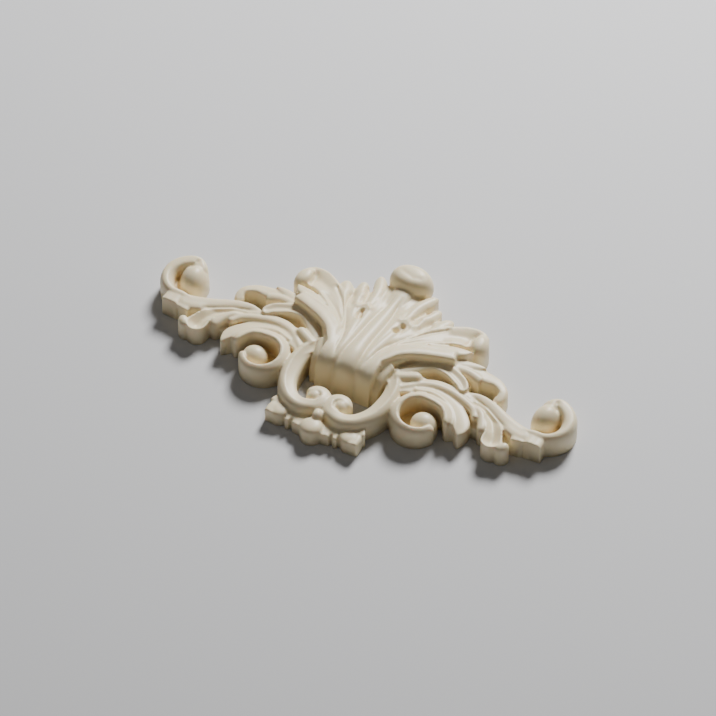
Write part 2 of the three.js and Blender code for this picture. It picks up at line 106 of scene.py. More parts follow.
relief = {
    "wingHeight": 9.2,
    "ringHeight": 10.8,
    "crestHeight": 6.8,
    "neckHeight": 16.4,
    "tipHeight": 10.0,
    "groundHeight": 5.2,
    "footDepth": 1.6,        # how far the forms run below the back before it is cut flat
    "lowestTop": 0.4,        # the lowest that a form's top may run above the back
    "alongStep": 0.45,       # fineness of a ribbon along and across
    "acrossSteps": 24,
    "spineSteps": 400,
    "headingStep": 0.003,    # share of the spine, either way, that a heading is taken over
    "endCrowding": 0.108,    # how much closer together the steps are at a ribbon's ends
    "edge": 0.8,             # rounding along a ribbon's edges
    "edgeShare": 0.7,        # the most of the half width that it takes
    "ballSegments": 48,
    "ballRings": 32,
    "voxel": 0.4,
    "smoothFactor": 0.5,
    "smoothRounds": 4,
    "flowRounds": 34,        # more smoothing where the plume's leaves run together
    "polishFactor": 0.4,     # a last light smoothing after the carving
    "polishRounds": 2,
    "maxFaces": 190000,
}

# Cross-sections, left edge to right edge: height in even steps, in half widths
profiles = {
    "soft": (-0.5, -0.14, 0.0, -0.14, -0.5),
    "flat": (-0.14, 0.0, 0.0, 0.0, -0.14),
    "level": (0.0, 0.0, 0.0, 0.0, 0.0),
    "fluted": (-0.12, -0.3, -0.52, -0.3, -0.12),
    "rightRidge": (-0.55, -0.5, -0.3, 0.0, -0.2),
    "leftRidge": (-0.1, 0.0, -0.25, -0.6, -1.1),
    "blade": (-0.42, -0.14, -0.06, 0.0, -0.12),
    "gentle": (-0.26, -0.07, 0.0, -0.07, -0.26),
    "dished": (-0.06, -0.16, -0.3, -0.16, 0.0),
    "ringSide": (-0.62, -0.3, -0.1, 0.0, -0.13, -0.25, -0.36, -0.45, -0.52),
    "funnel": (-1.5, -1.05, -0.62, -0.24, 0.0, -0.02, -0.1, -0.24, -0.5),
    "rounded": (-0.55, -0.2, -0.04, 0.0, 0.0, 0.0, -0.04, -0.2, -0.55),
    "spoon": (0.0, -0.4, -0.72, -0.4, 0.0),
    "ringFoot": (-0.75, -0.5, -0.34, -0.22, -0.13, -0.06, 0.0, 0.02, -0.35),
}

# A pair of cross-sections blends between these shares of the ribbon's length
profileBlend = (0.25, 0.65)

# How long an end is, in half widths, and the least share of the width left at it
endShapes = {
    "round": dict(length=1.0, narrowest=0.12),
    "leaf": dict(length=1.9, narrowest=0.1),
    "point": dict(length=4.0, narrowest=0.2),
}


def curveAt(points, t):
    # smooth curve through the rows, t from 0 to 1
    points = np.asarray(points, float)
    padded = np.vstack([2 * points[0] - points[1], points, 2 * points[-1] - points[-2]])
    place = np.clip(t, 0, 1) * (len(points) - 1)
    i = np.minimum(place.astype(int), len(points) - 2)
    w = (place - i)[:, None]
    before, start, end, after = padded[i], padded[i + 1], padded[i + 2], padded[i + 3]
    return (
        (2 * w**3 - 3 * w**2 + 1) * start
        + (w**3 - 2 * w**2 + w) * (end - before) / 2
        + (-2 * w**3 + 3 * w**2) * end
        + (w**3 - w**2) * (after - start) / 2
    )


def coil(centre, radius, turn, width, height, rows):
    # rows round a centre, each value given at the start and at the end of the turn
    out = []
    for t in np.linspace(0, 1, rows):
        angle = math.radians(turn[0] + (turn[1] - turn[0]) * t)
        r = radius[0] + (radius[1] - radius[0]) * t
        out.append((
            centre[0] + r * math.cos(angle),
            centre[1] + r * math.sin(angle),
            width[0] + (width[1] - width[0]) * t,
            height[0] + (height[1] - height[0]) * t,
        ))
    return out


def neckBend(x, halfWidth, footY, topY, top):
    # rows rising from the back and bending over to the top of the neck, as shares of run and rise
    bend = (
        (0, 0.02), (0.03, 0.33), (0.08, 0.58), (0.18, 0.77),
        (0.34, 0.895), (0.56, 0.965), (0.8, 0.995), (1, 1),
    )
    return [(x, footY + (topY - footY) * run, halfWidth, top * rise) for run, rise in bend]


def profileAt(profile, v, t):
    # height of the cross-section at v, -1 on the left edge and 1 on the right edge
    first, last = profile if isinstance(profile, tuple) else (profile, profile)
    start = curveAt(np.array(profiles[first])[:, None], (v + 1) / 2)[:, 0]
    if first == last:
        return start
    end = curveAt(np.array(profiles[last])[:, None], (v + 1) / 2)[:, 0]
    blend = ramp(t, *profileBlend)
    blend = blend * blend * (3 - 2 * blend)
    return start + (end - start) * blend


def endShare(kind, distance, endWidth):
    # share of the width left near an end, and how far the cross-section has turned about it
    if kind == "square":
        return 1, 0
    shape = endShapes[kind]
    k = np.clip(1 - distance / (endWidth * shape["length"]), 0, 1)
    left = {"round": np.sqrt(1 - k**2), "leaf": (1 - k**1.4) ** 0.8, "point": 1 - k**1.6}[kind]
    turned = {"round": k, "leaf": k**3, "point": 0}[kind]
    return np.maximum(left, shape["narrowest"]), turned


def addRibbon(name, rows, profile, ends=("square", "round"), edge=relief["edge"]):
    # a block that follows a spine, its top shaped by the cross-section
    rows = np.asarray(rows, float)
    spineShares = np.linspace(0, 1, relief["spineSteps"])
    fine = curveAt(rows, spineShares)
    strides = np.linalg.norm(np.diff(fine[:, [0, 1, 3]], axis=0), axis=1)
    run = np.concatenate([[0], np.cumsum(strides)])
    total = run[-1]
    steps = max(10, int(total / relief["alongStep"]))
    across = relief["acrossSteps"] if profile != "level" else 2

    bpy.ops.mesh.primitive_grid_add(x_subdivisions=steps, y_subdivisions=across, size=1)
    ribbon = bpy.context.object
    ribbon.name = name
    startEditing()
    bpy.ops.mesh.extrude_region_move(TRANSFORM_OT_translate={"value": (0, 0, 1)})
    bpy.ops.object.mode_set(mode="OBJECT")

    box = getPlaces(ribbon.data)
    u = box[:, 0] + 0.5
    v = -2 * box[:, 1]
    isTop = box[:, 2] > 0.5
    along = total * (u - relief["endCrowding"] * np.sin(2 * math.pi * u))
    t = np.interp(along, run, spineShares)
    here = curveAt(rows, t)
    step = curveAt(rows, t + relief["headingStep"]) - curveAt(rows, t - relief["headingStep"])
    heading = step[:, :2] / np.maximum(np.linalg.norm(step[:, :2], axis=1), 1e-9)[:, None]
    right = np.stack([heading[:, 1], -heading[:, 0]], 1)

    share = np.ones(len(u))
    cap = np.zeros(len(u))
    for kind, distance, endWidth in (
        (ends[0], along, rows[0, 2]),
        (ends[1], total - along, rows[-1, 2]),
    ):
        left, turned = endShare(kind, distance, endWidth)
        share = share * left
        cap = np.maximum(cap, turned)
    offset = v * share
    away = np.minimum(np.hypot(offset, cap), 1)
    side = np.where(away > 1e-9, offset / np.maximum(away, 1e-9), 0)
    leftSection = profileAt(profile, -away, t)
    rightSection = profileAt(profile, away, t)
    section = leftSection + (rightSection - leftSection) * (0.5 + side / 2)
    halfWidth = here[:, 2]
    top = here[:, 3] + section * halfWidth
    if profile != "level":
        # rounded shoulders where the top meets the side walls
        radius = np.minimum(edge, halfWidth * relief["edgeShare"])
        inside = np.clip(1 - (1 - away) * halfWidth / radius, 0, 1)
        top -= radius * (1 - np.sqrt(1 - inside**2))
    place = here[:, :2] + right * (offset * halfWidth)[:, None]
    z = np.where(isTop, np.maximum(top, relief["lowestTop"]), -relief["footDepth"])
    setPlaces(ribbon.data, np.column_stack([place, z]) * mm)
    return ribbon


def addBoss(name, centre, radii, turn=0.0, floating=False, square=1.0):
    # a dome on a straight stalk, or a floating ball; square below 1 fills out its plan
    bpy.ops.mesh.primitive_uv_sphere_add(
        segments=relief["ballSegments"], ring_count=relief["ballRings"], radius=1)
    boss = bpy.context.object
    boss.name = name
    ball = getPlaces(boss.data)
    if square != 1.0:
        flat = np.maximum(np.linalg.norm(ball[:, :2], axis=1), 1e-9)
        ball[:, :2] *= (flat**square / flat)[:, None]
    shape = ball * np.asarray(radii)
    if not floating:
        isStalk = ball[:, 2] < -0.01
        shape[isStalk, 2] = -relief["footDepth"] - centre[2]
    angle = math.radians(turn)
    turned = np.column_stack([
        shape[:, 0] * math.cos(angle) - shape[:, 1] * math.sin(angle),
        shape[:, 0] * math.sin(angle) + shape[:, 1] * math.cos(angle),
        shape[:, 2],
    ])
    setPlaces(boss.data, (turned + np.asarray(centre)) * mm)
    return boss


wing = relief["wingHeight"]
ring = relief["ringHeight"]
crest = relief["crestHeight"]
neck = relief["neckHeight"]
tip = relief["tipHeight"]
ground = relief["groundHeight"]

scrolls = {
    "stem": ([
        (43, 34.2, 1.5, wing * 0.88),
        (50, 36.0, 2.1, wing * 0.9),
        (57, 33.8, 2.8, wing * 0.93),
        (64, 30.2, 3.2, wing * 0.96),
        (71, 27.4, 3.6, wing * 0.99),
        (77, 26.6, 3.4, wing * 1.0),
    ], "flat"),
    "endScroll": ([
        (64, 30.6, 2.4, wing * 0.94),
        (70.5, 28.9, 2.1, wing * 0.98),
        *coil((79.2, 38), (8.7, 7.6), (-104, 88), (2.6, 3.3), (wing * 1.03, wing * 1.22), rows=8),
        (76.6, 43.4, 3.0, wing * 1.16),
        (76.4, 41.2, 2.4, wing * 1.0),
    ], ("funnel", "rounded"), ("square", "round"), 1.6),
    "wingVolute": ([
        (46.9, 16.4, 2.0, wing * 1.16),
        (45.2, 20.4, 2.3, wing * 1.2),
        (41.4, 23.8, 2.4, wing * 1.27),
        *coil((33.5, 16.4), (8.5, 8.4), (82, 332), (2.6, 1.3), (wing * 1.34, wing * 1.02), rows=9),
        (41.4, 14.6, 1.0, wing * 0.9),
    ], "leftRidge", ("round", "round"), 1.2),
    "ring": ([
        (12.4, 36.4, 0.9, ring * 1.04),
        (16.6, 31.0, 2.2, ring * 1.05),
        (19.6, 24.6, 3.3, ring * 1.04),
        (20.4, 17.6, 3.7, ring),
        (18.8, 9.2, 3.7, ring * 0.96),
        (14.6, 3.2, 3.55, ring * 0.93),
        (9.6, 0.9, 3.25, ring * 0.91),
        *coil((5.4, 7.1), (5.3, 2.6), (262, 0), (2.75, 1.9), (ring * 0.9, ring * 0.86), rows=8),
    ], ("ringSide", "ringFoot"), ("square", "round"), 1.1),
    "hook": ([
        (17.6, 31.8, 2.0, wing * 1.2),
        (22, 36, 2.4, wing * 1.2),
        (29, 42, 3, wing * 1.16),
        (36, 46, 3.4, wing * 1.08),
        (42, 46.9, 3.5, wing * 0.98),
        (48, 46.8, 3.3, wing * 0.93),
        (53, 46.2, 2.4, wing * 0.92),
        (56.9, 43.4, 1.9, wing * 0.92),
        (57.4, 40.0, 1.9, wing * 0.88),
        (55.6, 37.6, 2.2, wing * 0.82),
    ], "blade"),
}

lobes = {
    "squareLobe": ([
        (78.8, 30.5, 3.9, wing * 0.98),
        (79.2, 23.3, 3.8, wing),
    ], "flat", ("square", "square"), 0.5),
    "notchLobe": ([
        (72.6, 29, 3.4, wing * 0.96),
        (73.5, 22.4, 2.9, wing * 0.97),
    ], "flat", ("square", "square"), 0.5),
    "flutedLobe": ([
        (50, 32.9, 1.5, wing * 0.9),
        (58.8, 29, 2.6, wing * 0.97),
        (63.0, 23.4, 3.3, wing),
        (64.4, 19.2, 4.1, wing * 0.98),
        (65.4, 14.8, 4.3, wing * 0.97),
    ], "spoon", ("square", "round"), 0.5),
    "tipCurl": ([
        (67.4, 16.8, 1.8, wing * 0.9),
        (69.9, 17.6, 2.1, wing * 0.98),
        (70.5, 20.2, 1.6, wing * 0.98),
    ], "soft"),
    "smallLobe": ([
        (49, 31.4, 1.2, wing * 0.9),
        (55, 28.8, 1.75, wing * 0.98),
        (59.3, 20.8, 2.1, wing * 0.94),
    ], "soft"),
    "wideLobe": ([
        (27, 27.4, 1.8, wing * 1.13),
        (35, 30, 2.7, wing * 1.08),
        (44, 27.4, 3.3, wing * 1.03),
        (49.8, 21.4, 3.9, wing * 1.01),
        (51.7, 14.9, 4.0, wing * 0.97),
    ], "rightRidge", ("square", "leaf")),
    "upperBand": ([
        (20.4, 23.6, 1.4, wing * 1.16),
        (23.6, 26.6, 1.6, wing * 1.14),
        (30, 32, 1.9, wing * 1.08),
        (39, 33.4, 1.9, wing * 1.02),
        (50, 30.4, 1.8, wing * 0.95),
        (54, 25.6, 1.2, wing * 0.95),
    ], "soft"),
    "topBand": ([
        (20.6, 26.6, 1.3, wing * 1.08),
        (25, 30.5, 1.3, wing * 1.06),
        (33, 34.6, 1.5, wing * 1.01),
        (42, 34.9, 1.6, wing * 0.94),
        (51, 33.4, 1.7, wing * 0.9),
    ], "soft"),
    "innerLeaf": ([
        (33, 44.4, 1.6, wing * 1.1),
        (41, 45.2, 2.2, wing * 1.06),
        (47.2, 44.2, 2.4, wing * 0.98),
    ], "soft", ("square", "square")),
    "tongue": ([
        (19.6, 33.4, 1.2, wing * 1.24),
        (27, 39.8, 1.9, wing * 1.24),
        (34, 41.3, 2.5, wing * 1.2),
        (41.2, 38.4, 2.6, wing * 1.15),
        (44.2, 34.8, 1.7, wing * 1.1),
    ], "fluted"),
    "blockTip": ([
        (18, 28.4, 2.3, wing * 1.26),
        (27.4, 33.3, 2.5, wing * 1.28),
    ], "soft", ("square", "round"), 1.3),
    "hookTip": ([
        (35, 46.6, 2.8, wing * 1.08),
        (41, 48.8, 2.0, wing * 1.02),
        (46.4, 50.2, 0.9, wing * 0.97),
    ], "gentle", ("square", "point")),
    "wingRoot": ([
        (17.6, 23.4, 3.4, wing * 1.1),
        (24.6, 28.8, 4.4, wing * 1.06),
        (31, 32.2, 3, wing * 0.98),
    ], "level"),
    "wingGround": ([
        (19, 24.6, 3.4, ground * 1.4),
        (27, 27.6, 5, ground * 1.2),
        (48, 29.4, 6.4, ground),
        (66, 26.4, 4.4, ground),
        (79, 27, 3, ground),
    ], "level"),
    "hookGround": ([
        (15.5, 31.6, 3.4, ground * 1.5),
        (31, 38.4, 4.6, ground * 1.3),
        (44.6, 39.4, 4.2, ground * 0.9),
    ], "level"),
    "leafGround": ([
        (6, 28, 6, neck * 0.93),
        (10.5, 37, 7, neck * 0.87),
        (16.5, 47, 8, neck * 0.78),
        (20, 51.5, 6, neck * 0.71),
    ], "flat"),
    "crestBand": ([
        (-3, -2.9, 2.7, crest * 0.84),
        (8, -2.9, 2.7, crest * 0.84),
        (15, -1.6, 2.7, crest * 0.86),
        (18, 0.8, 1.9, crest * 0.88),
    ], "flat", ("square", "round"), 0.4),
    "cornerLobe": ([
        (14.2, 0.5, 2.6, crest * 0.9),
        (15.0, -3, 3.6, crest * 0.97),
        (15.4, -7.0, 3.6, crest * 0.95),
    ], "flat", ("square", "round"), 0.8),
    "lobeCorner": ([
        (17.0, -0.5, 2.0, crest * 0.9),
        (17.8, -3, 2.3, crest * 0.95),
        (18.0, -6.8, 2.1, crest * 0.94),
    ], "flat", ("square", "square"), 0.7),
    "sideTip": ([
        (16, -1, 1.6, crest * 0.9),
        (19.9, 0.7, 1.7, crest * 0.98),
    ], "flat", ("square", "square"), 0.4),
    "firstFlake": ([
        (5.8, -2, 1.9, crest * 0.84),
        (6.2, -7.2, 2.0, crest * 0.83),
    ], "flat", ("square", "square"), 0.4),
    "secondFlake": ([
        (10.0, -2, 0.9, crest * 0.86),
        (10.4, -6.9, 0.9, crest * 0.84),
    ], "flat", ("square", "square"), 0.4),
    "neckFlank": ([
        (13.2, 19.2, 1.4, neck * 0.14),
        (13.4, 20.2, 1.8, neck * 0.42),
        (13.6, 22.6, 2.0, neck * 0.62),
        (13.8, 26, 2.1, neck * 0.74),
        (14.6, 31, 2.1, neck * 0.82),
    ], "gentle", ("square", "square")),
    "ringWeb": ([
        (16.4, 22.5, 1.8, neck * 0.3),
        (16.2, 26, 2.2, neck * 0.44),
        (15, 31, 2.2, neck * 0.6),
    ], "level"),
}

plume = {
    "rightLeaf": ([
        *neckBend(10, 2.1, 17.6, 29, neck * 0.975),
        (11.4, 32, 2.5, neck * 0.97),
        (14.4, 37.2, 3.1, neck * 0.96),
        (20, 41.6, 3.5, neck * 0.93),
        (28, 45.2, 3.4, neck * 0.88),
        (34.4, 47.3, 3.1, neck * 0.83),
    ], "blade", ("square", "square")),
    "rightLeafTip": ([
        (24, 46, 3, neck * 0.8),
        (31, 49.4, 3.2, neck * 0.76),
        (35.6, 51.4, 2.2, neck * 0.72),
        (38.6, 53.4, 0.8, neck * 0.67),
    ], "blade", ("square", "point")),
    "curlLeaf": ([
        (10.6, 34, 1.6, neck * 0.93),
        (14.4, 43, 2.8, neck * 0.87),
        (20.4, 51.2, 4.2, neck * 0.79),
        (27, 57.2, 4.9, neck * 0.71),
        (33.4, 60.4, 5.6, neck * 0.66),
        (37.8, 60.4, 4.9, tip * 1.06),
        (40.4, 59.4, 4.0, tip * 1.0),
    ], "dished", ("square", "round"), 0.9),
    "firstTip": ([
        (11, 38, 1.3, neck * 0.9),
        (14.2, 46, 1.9, neck * 0.82),
        (17.6, 53, 2.7, neck * 0.745),
        (20.9, 59.6, 3.7, tip * 1.12),
        (23.5, 66.2, 3.1, tip * 0.98),
    ], "soft", ("square", "leaf"), 0.5),
    "secondTip": ([
        (9.6, 40, 2.2, neck * 0.88),
        (11.4, 48, 2.7, neck * 0.8),
        (13.0, 56, 3.0, neck * 0.72),
        (14.7, 61.6, 3.1, tip * 1.12),
        (17.0, 68.6, 2.6, tip * 0.98),
    ], "soft", ("square", "leaf"), 0.5),
    "thirdTip": ([
        (6.2, 42, 2.4, neck * 0.87),
        (7.4, 54, 2.9, neck * 0.78),
        (9.2, 65.5, 2.8, tip * 1.14),
        (12.6, 74.2, 2.5, tip * 0.98),
    ], "soft", ("square", "leaf"), 0.5),
    "sideRib": ([
        *neckBend(6.8, 3.9, 17.7, 29.6, neck * 0.985),
        (6.6, 36, 3.7, neck * 0.955),
        (6.4, 46, 3.6, neck * 0.87),
        (7.4, 57, 3.2, neck * 0.755),
        (9.0, 65, 2.0, tip * 1.08),
    ], "gentle", ("square", "point")),
}

middle = {
    "neckGround": ([
        *neckBend(0, 11.4, 18, 30, neck * 0.955),
        (0, 36, 11.85, neck * 0.92),
        (0, 50, 11.8, neck * 0.79),
        (0, 60, 10.6, neck * 0.69),
        (0, 67, 8.4, neck * 0.64),
        (0, 79, 7.6, neck * 0.5),
    ], "flat"),
    "centreRib": ([
        *neckBend(0, 5.2, 17.5, 29.4, neck),
        (0, 33, 4.2, neck * 0.985),
        (0, 38, 3.5, neck * 0.95),
        (0, 47, 3.4, neck * 0.86),
        (0, 60, 3.4, neck * 0.75),
        (0, 73, 5, neck * 0.74),
    ], "gentle"),
    "crestGround": ([
        (-9, -1.6, 2.6, crest * 0.7),
        (9, -1.6, 2.6, crest * 0.7),
    ], "level", ("square", "square")),
}

bosses = {
    "endBall": dict(centre=(77.6, 39.9, 4.4), radii=(5.7, 7.2, 7.3), turn=-10),
    "wingBoss": dict(centre=(36.9, 16.0, 5.0), radii=(5.3, 4.9, 4.7)),
    "leafCurl": dict(centre=(38.3, 59.0, 7.4), radii=(3.9, 5.6, 4.5), turn=14, square=0.7),
    "ringDish": dict(centre=(5.8, 7.4, 6.2), radii=(3.3, 3.3, 3.3)),
    "wingPit": dict(centre=(33.6, 16.8, 2), radii=(8.2, 8.2, 1.4)),
    "endPit": dict(centre=(80.6, 38.2, 3.2), radii=(6.9, 7.1, 2.0)),
}

middleBosses = {
    "bud": dict(centre=(0, -5.9, 5.5), radii=(4.5, 4.4, 2.3), square=0.72),
    "bead": dict(centre=(0, -0.8, 6.4), radii=(2.2, 2.7, 3.0)),
    "rollFoot": dict(centre=(0, 74.6, 6), radii=(8.4, 6.2, 1.5)),
    "roll": dict(centre=(0, 75.4, 9.1), radii=(9.2, 6.7, 6.8), floating=True, square=0.55),
}


def joinAll(name, pieces):
    deselectAll()
    for piece in pieces:
        piece.select_set(True)
    bpy.context.view_layer.objects.active = pieces[0]
    bpy.ops.object.join()
    pieces[0].name = name
    return pieces[0]


half = []
for table in (scrolls, lobes, plume):
    for name, row in table.items():
        half.append(addRibbon(name, *row))
for name, row in bosses.items():
    half.append(addBoss(name, **row))
print("right half made:", len(half), "forms")

onlay = joinAll("onlayRelief", half)
applyModifier(onlay, "leftHalf", "MIRROR", use_mirror_merge=False)

centre = [addRibbon(name, *row) for name, row in middle.items()]
centre += [addBoss(name, **row) for name, row in middleBosses.items()]
onlay = joinAll("onlayRelief", [onlay] + centre)

applyModifier(onlay, "oneSkin", "REMESH", mode="VOXEL", voxel_size=relief["voxel"] * mm)
applyModifier(
    onlay, "softEdges", "SMOOTH", factor=relief["smoothFactor"], iterations=relief["smoothRounds"])
print("one skin:", len(onlay.data.polygons), "faces")

# Where the plume's leaves run together: each pair is where the smoothing starts and is full
plumeFlow = {
    "leaves": ("rightLeaf", "curlLeaf", "firstTip", "secondTip", "thirdTip", "sideRib"),
    "leafSteps": 60,
    "depth": (0.4, 1.6),       # inside the leaves' own edges
    "facing": (0.3, 0.6),      # how far upwards the surface looks
    "deepInside": (1.3, 1.9),  # this far in it may look any way
    "tipFade": (64, 58),       # along the plume, so that the tips stay apart
    "tipSlant": 0.25,          # how much sooner it fades for each millimetre out from tipX
    "tipX": 12,
    "lowestY": 24,
    "lowestZ": 8,
    "weights": (0.25, 0.5, 0.75, 1.0),
    "weightReach": 0.125,
}
farOutside = -9.0


def insideLeaves(places, names):
    # how far inside the leaves' own edges a point lies, below zero outside
    depth = np.full(len(places), farOutside)
    for name in names:
        spine = curveAt(plume[name][0], np.linspace(0, 1, plumeFlow["leafSteps"]))
        for x, y, halfWidth, _ in spine:
            depth = np.maximum(depth, halfWidth - np.hypot(np.abs(places[:, 0]) - x, places[:, 1] - y))
    return depth


places = getPlaces(onlay.data) / mm
depth = insideLeaves(places, plumeFlow["leaves"])
facing = getNormals(onlay.data)[:, 2]
flow = ramp(depth, *plumeFlow["depth"])
flow *= np.maximum(ramp(facing, *plumeFlow["facing"]), ramp(depth, *plumeFlow["deepInside"]))
flow[(places[:, 1] < plumeFlow["lowestY"]) | (places[:, 2] < plumeFlow["lowestZ"])] = 0
slant = plumeFlow["tipSlant"] * (np.abs(places[:, 0]) - plumeFlow["tipX"])
flow *= ramp(places[:, 1] + slant, *plumeFlow["tipFade"])
group = onlay.vertex_groups.new(name="flow")
for weight in plumeFlow["weights"]:
    chosen = np.nonzero(np.abs(flow - weight) <= plumeFlow["weightReach"])[0]
    group.add(chosen.tolist(), weight, "REPLACE")
applyModifier(
    onlay, "leavesRunTogether", "SMOOTH", vertex_group="flow",
    factor=relief["smoothFactor"], iterations=relief["flowRounds"])
print("plume smoothed:", int((flow > 0.1).sum()), "points")

# Carving: lines are x, y, z points. A crease has a sharp line and a soft hollow beside it,
# and "fade" is how far it takes to come in and to go out.
creases = {
    "centreCrease": dict(width=0.55, hollow=1.7, depth=0.95, fade=(0, 6), points=[
        (5.0, 17.2, 1), (4.9, 17.8, 6), (4.7, 18.6, 10.5), (4.4, 20.6, 14.2), (4.1, 23.5, 15.7),
        (3.8, 29, 16), (3.5, 33, 15.8), (3.3, 37, 15.4), (3.2, 42, 14.7), (3.2, 48, 13.9),
        (2.9, 54, 13), (2.2, 60, 12.2), (1.6, 66, 11.8)]),
    "lobeCrease": dict(width=0.6, hollow=2.0, depth=1.1, fade=(9, 3), points=[
        (5.6, 21, 14.6), (6.3, 24.5, 15.9), (7.3, 28, 16), (8.0, 33, 15.8), (9.5, 38, 15),
        (11.4, 42.5, 14.3), (13.6, 47, 13.6), (15.7, 51.4, 12.8), (17.0, 56, 11.8), (17.9, 61.5, 10.8)]),
    "curlCrease": dict(width=0.6, hollow=1.8, depth=1.0, fade=(7, 2), points=[
        (11.5, 39.7, 14.8), (13.9, 45, 14.1), (16.6, 49.6, 13.3), (19.8, 54, 12.4), (23, 57.4, 11.6),
        (25.6, 60.6, 11)]),
    "leafCrease": dict(width=0.6, hollow=1.8, depth=0.8, fade=(6, 3), points=[
        (11, 38, 15.2), (14, 42.7, 14.4), (18.1, 47.1, 13.9), (22.2, 50.5, 13.1), (25.3, 53, 12.7),
        (28.7, 54.4, 12)]),
    "leafLine": dict(width=0.8, hollow=2.2, depth=0.5, fade=(5, 6), points=[
        (11.4, 35.6, 15.6), (15, 39.7, 15.6), (18.9, 42.9, 15.1), (23.3, 44.8, 14.8), (28.4, 46.4, 14.4),
        (33, 47.6, 13.8)]),
    "tipCrease": dict(width=0.6, hollow=1.6, depth=0.9, fade=(5, 1), points=[
        (9.4, 54, 12.6), (11.4, 60, 11.6), (13.6, 66.5, 10.8)]),
    "rollCrease": dict(width=1.0, hollow=2.2, depth=0.32, fade=(3, 4), points=[
        (-6.2, 76.4, 14.2), (-2.6, 74.6, 14.8), (1.6, 73.4, 14.8), (4.8, 74.4, 14.6), (6.6, 77.4, 13.6)]),
    "ballCrease": dict(width=0.7, hollow=1.5, depth=0.7, fade=(2, 2), points=[
        (78.6, 47.2, 10.6), (79.0, 45.6, 11.2), (79.5, 44.0, 11.2), (80.4, 42.4, 10.4), (81.2, 41, 9)]),
    "curlFold": dict(width=0.7, hollow=1.5, depth=1.0, fade=(2, 2), points=[
        (36.0, 64.0, 10.6), (35.0, 61, 10.2), (34.3, 58, 9.8), (34.0, 54.8, 9.4)]),
    "stemLine": dict(width=0.7, hollow=1.6, depth=0.8, fade=(3, 3), points=[
        (47, 35.6, 8.5), (56, 32.6, 8.7), (63, 28.4, 8.9), (67, 26, 9)]),
    "squareEdge": dict(width=0.5, hollow=0.9, depth=0.9, fade=(0, 1), points=[
        (75.8, 22.6, 0), (75.8, 22.8, 8.8)]),
    "notchEdge": dict(width=0.5, hollow=1.0, depth=0.8, fade=(0, 1), points=[
        (71.7, 20.6, 0), (71.7, 21, 8.6)]),
    "wideEdge": dict(width=0.5, hollow=1.0, depth=1.1, fade=(0, 4), points=[
        (47.6, 16.0, 0), (47.6, 16.4, 9), (46.6, 19.6, 9.2)]),
}

# A pit goes straight down to a level floor, and a raised edge straight up
pits = {
    "eye": dict(depth=2.4, width=1.1, points=[
        (8.1, 47.0, 13.8), (9.1, 49.4, 13.6), (9.1, 51.2, 13.4)]),
}

raised = {
    "eyelid": dict(depth=0.7, width=1.2, points=[
        (6.8, 53.4, 13.2), (9.0, 55.2, 12.8), (11.8, 53.2, 13)]),
    "loopRim": dict(depth=0.4, width=1.4, points=[
        (10.4, 58.4, 11.8), (12.4, 60.4, 11.6), (14.4, 58.6, 11.8), (14.6, 55.4, 12.3)]),
}

# Fine flow lines between two creases: how many, how deep
flowLines = [
    dict(between=("leafCrease", "leafLine"), count=2, depth=0.28),
    dict(between=("lobeCrease", "curlCrease"), count=2, depth=0.25),
    dict(between=("centreCrease", "lobeCrease"), count=2, depth=0.22),
]
flowLine = dict(width=0.5, hollow=1.0, fade=(8, 6))

carving = {
    "heightShare": 0.3,       # height counts less than the plan in a distance to a line
    "shortestFade": 0.01,
    "backMargin": 0.05,       # creases stay this far above the back
    "upperZ": (5, 8),         # pits and raised edges stay above this, starting and in full
}


def resample(points, count=14):
    # as many points as asked for, evenly along a line
    points = np.asarray(points, float)
    run = np.concatenate([[0], np.cumsum(np.linalg.norm(np.diff(points, axis=0), axis=1))])
    at = np.linspace(0, run[-1], count)
    return np.column_stack([np.interp(at, run, points[:, k]) for k in range(3)])


for pair in flowLines:
    first, last = (resample(creases[name]["points"]) for name in pair["between"])
    for k in range(pair["count"]):
        share = (k + 1) / (pair["count"] + 1)
        creases[f"{pair['between'][0]}Flow{k}"] = dict(
            flowLine, depth=pair["depth"], points=list(first + (last - first) * share))


def lineDistance(places, points):
    # distance to a line, how far along it, and its length
    scale = np.array([1, 1, carving["heightShare"]])
    points = np.asarray(points, float) * scale
    places = places * scale
    nearest = np.full(len(places), 1e9)
    along = np.zeros(len(places))
    length = 0.0
    for start, end in zip(points[:-1], points[1:]):
        run = end - start
        share = np.clip(((places - start) @ run) / (run @ run), 0, 1)
        distance = np.linalg.norm(places - start - share[:, None] * run, axis=1)
        closer = distance < nearest
        nearest = np.where(closer, distance, nearest)
        along = np.where(closer, length + share * np.linalg.norm(run), along)
        length += np.linalg.norm(run)
    return nearest, along, length


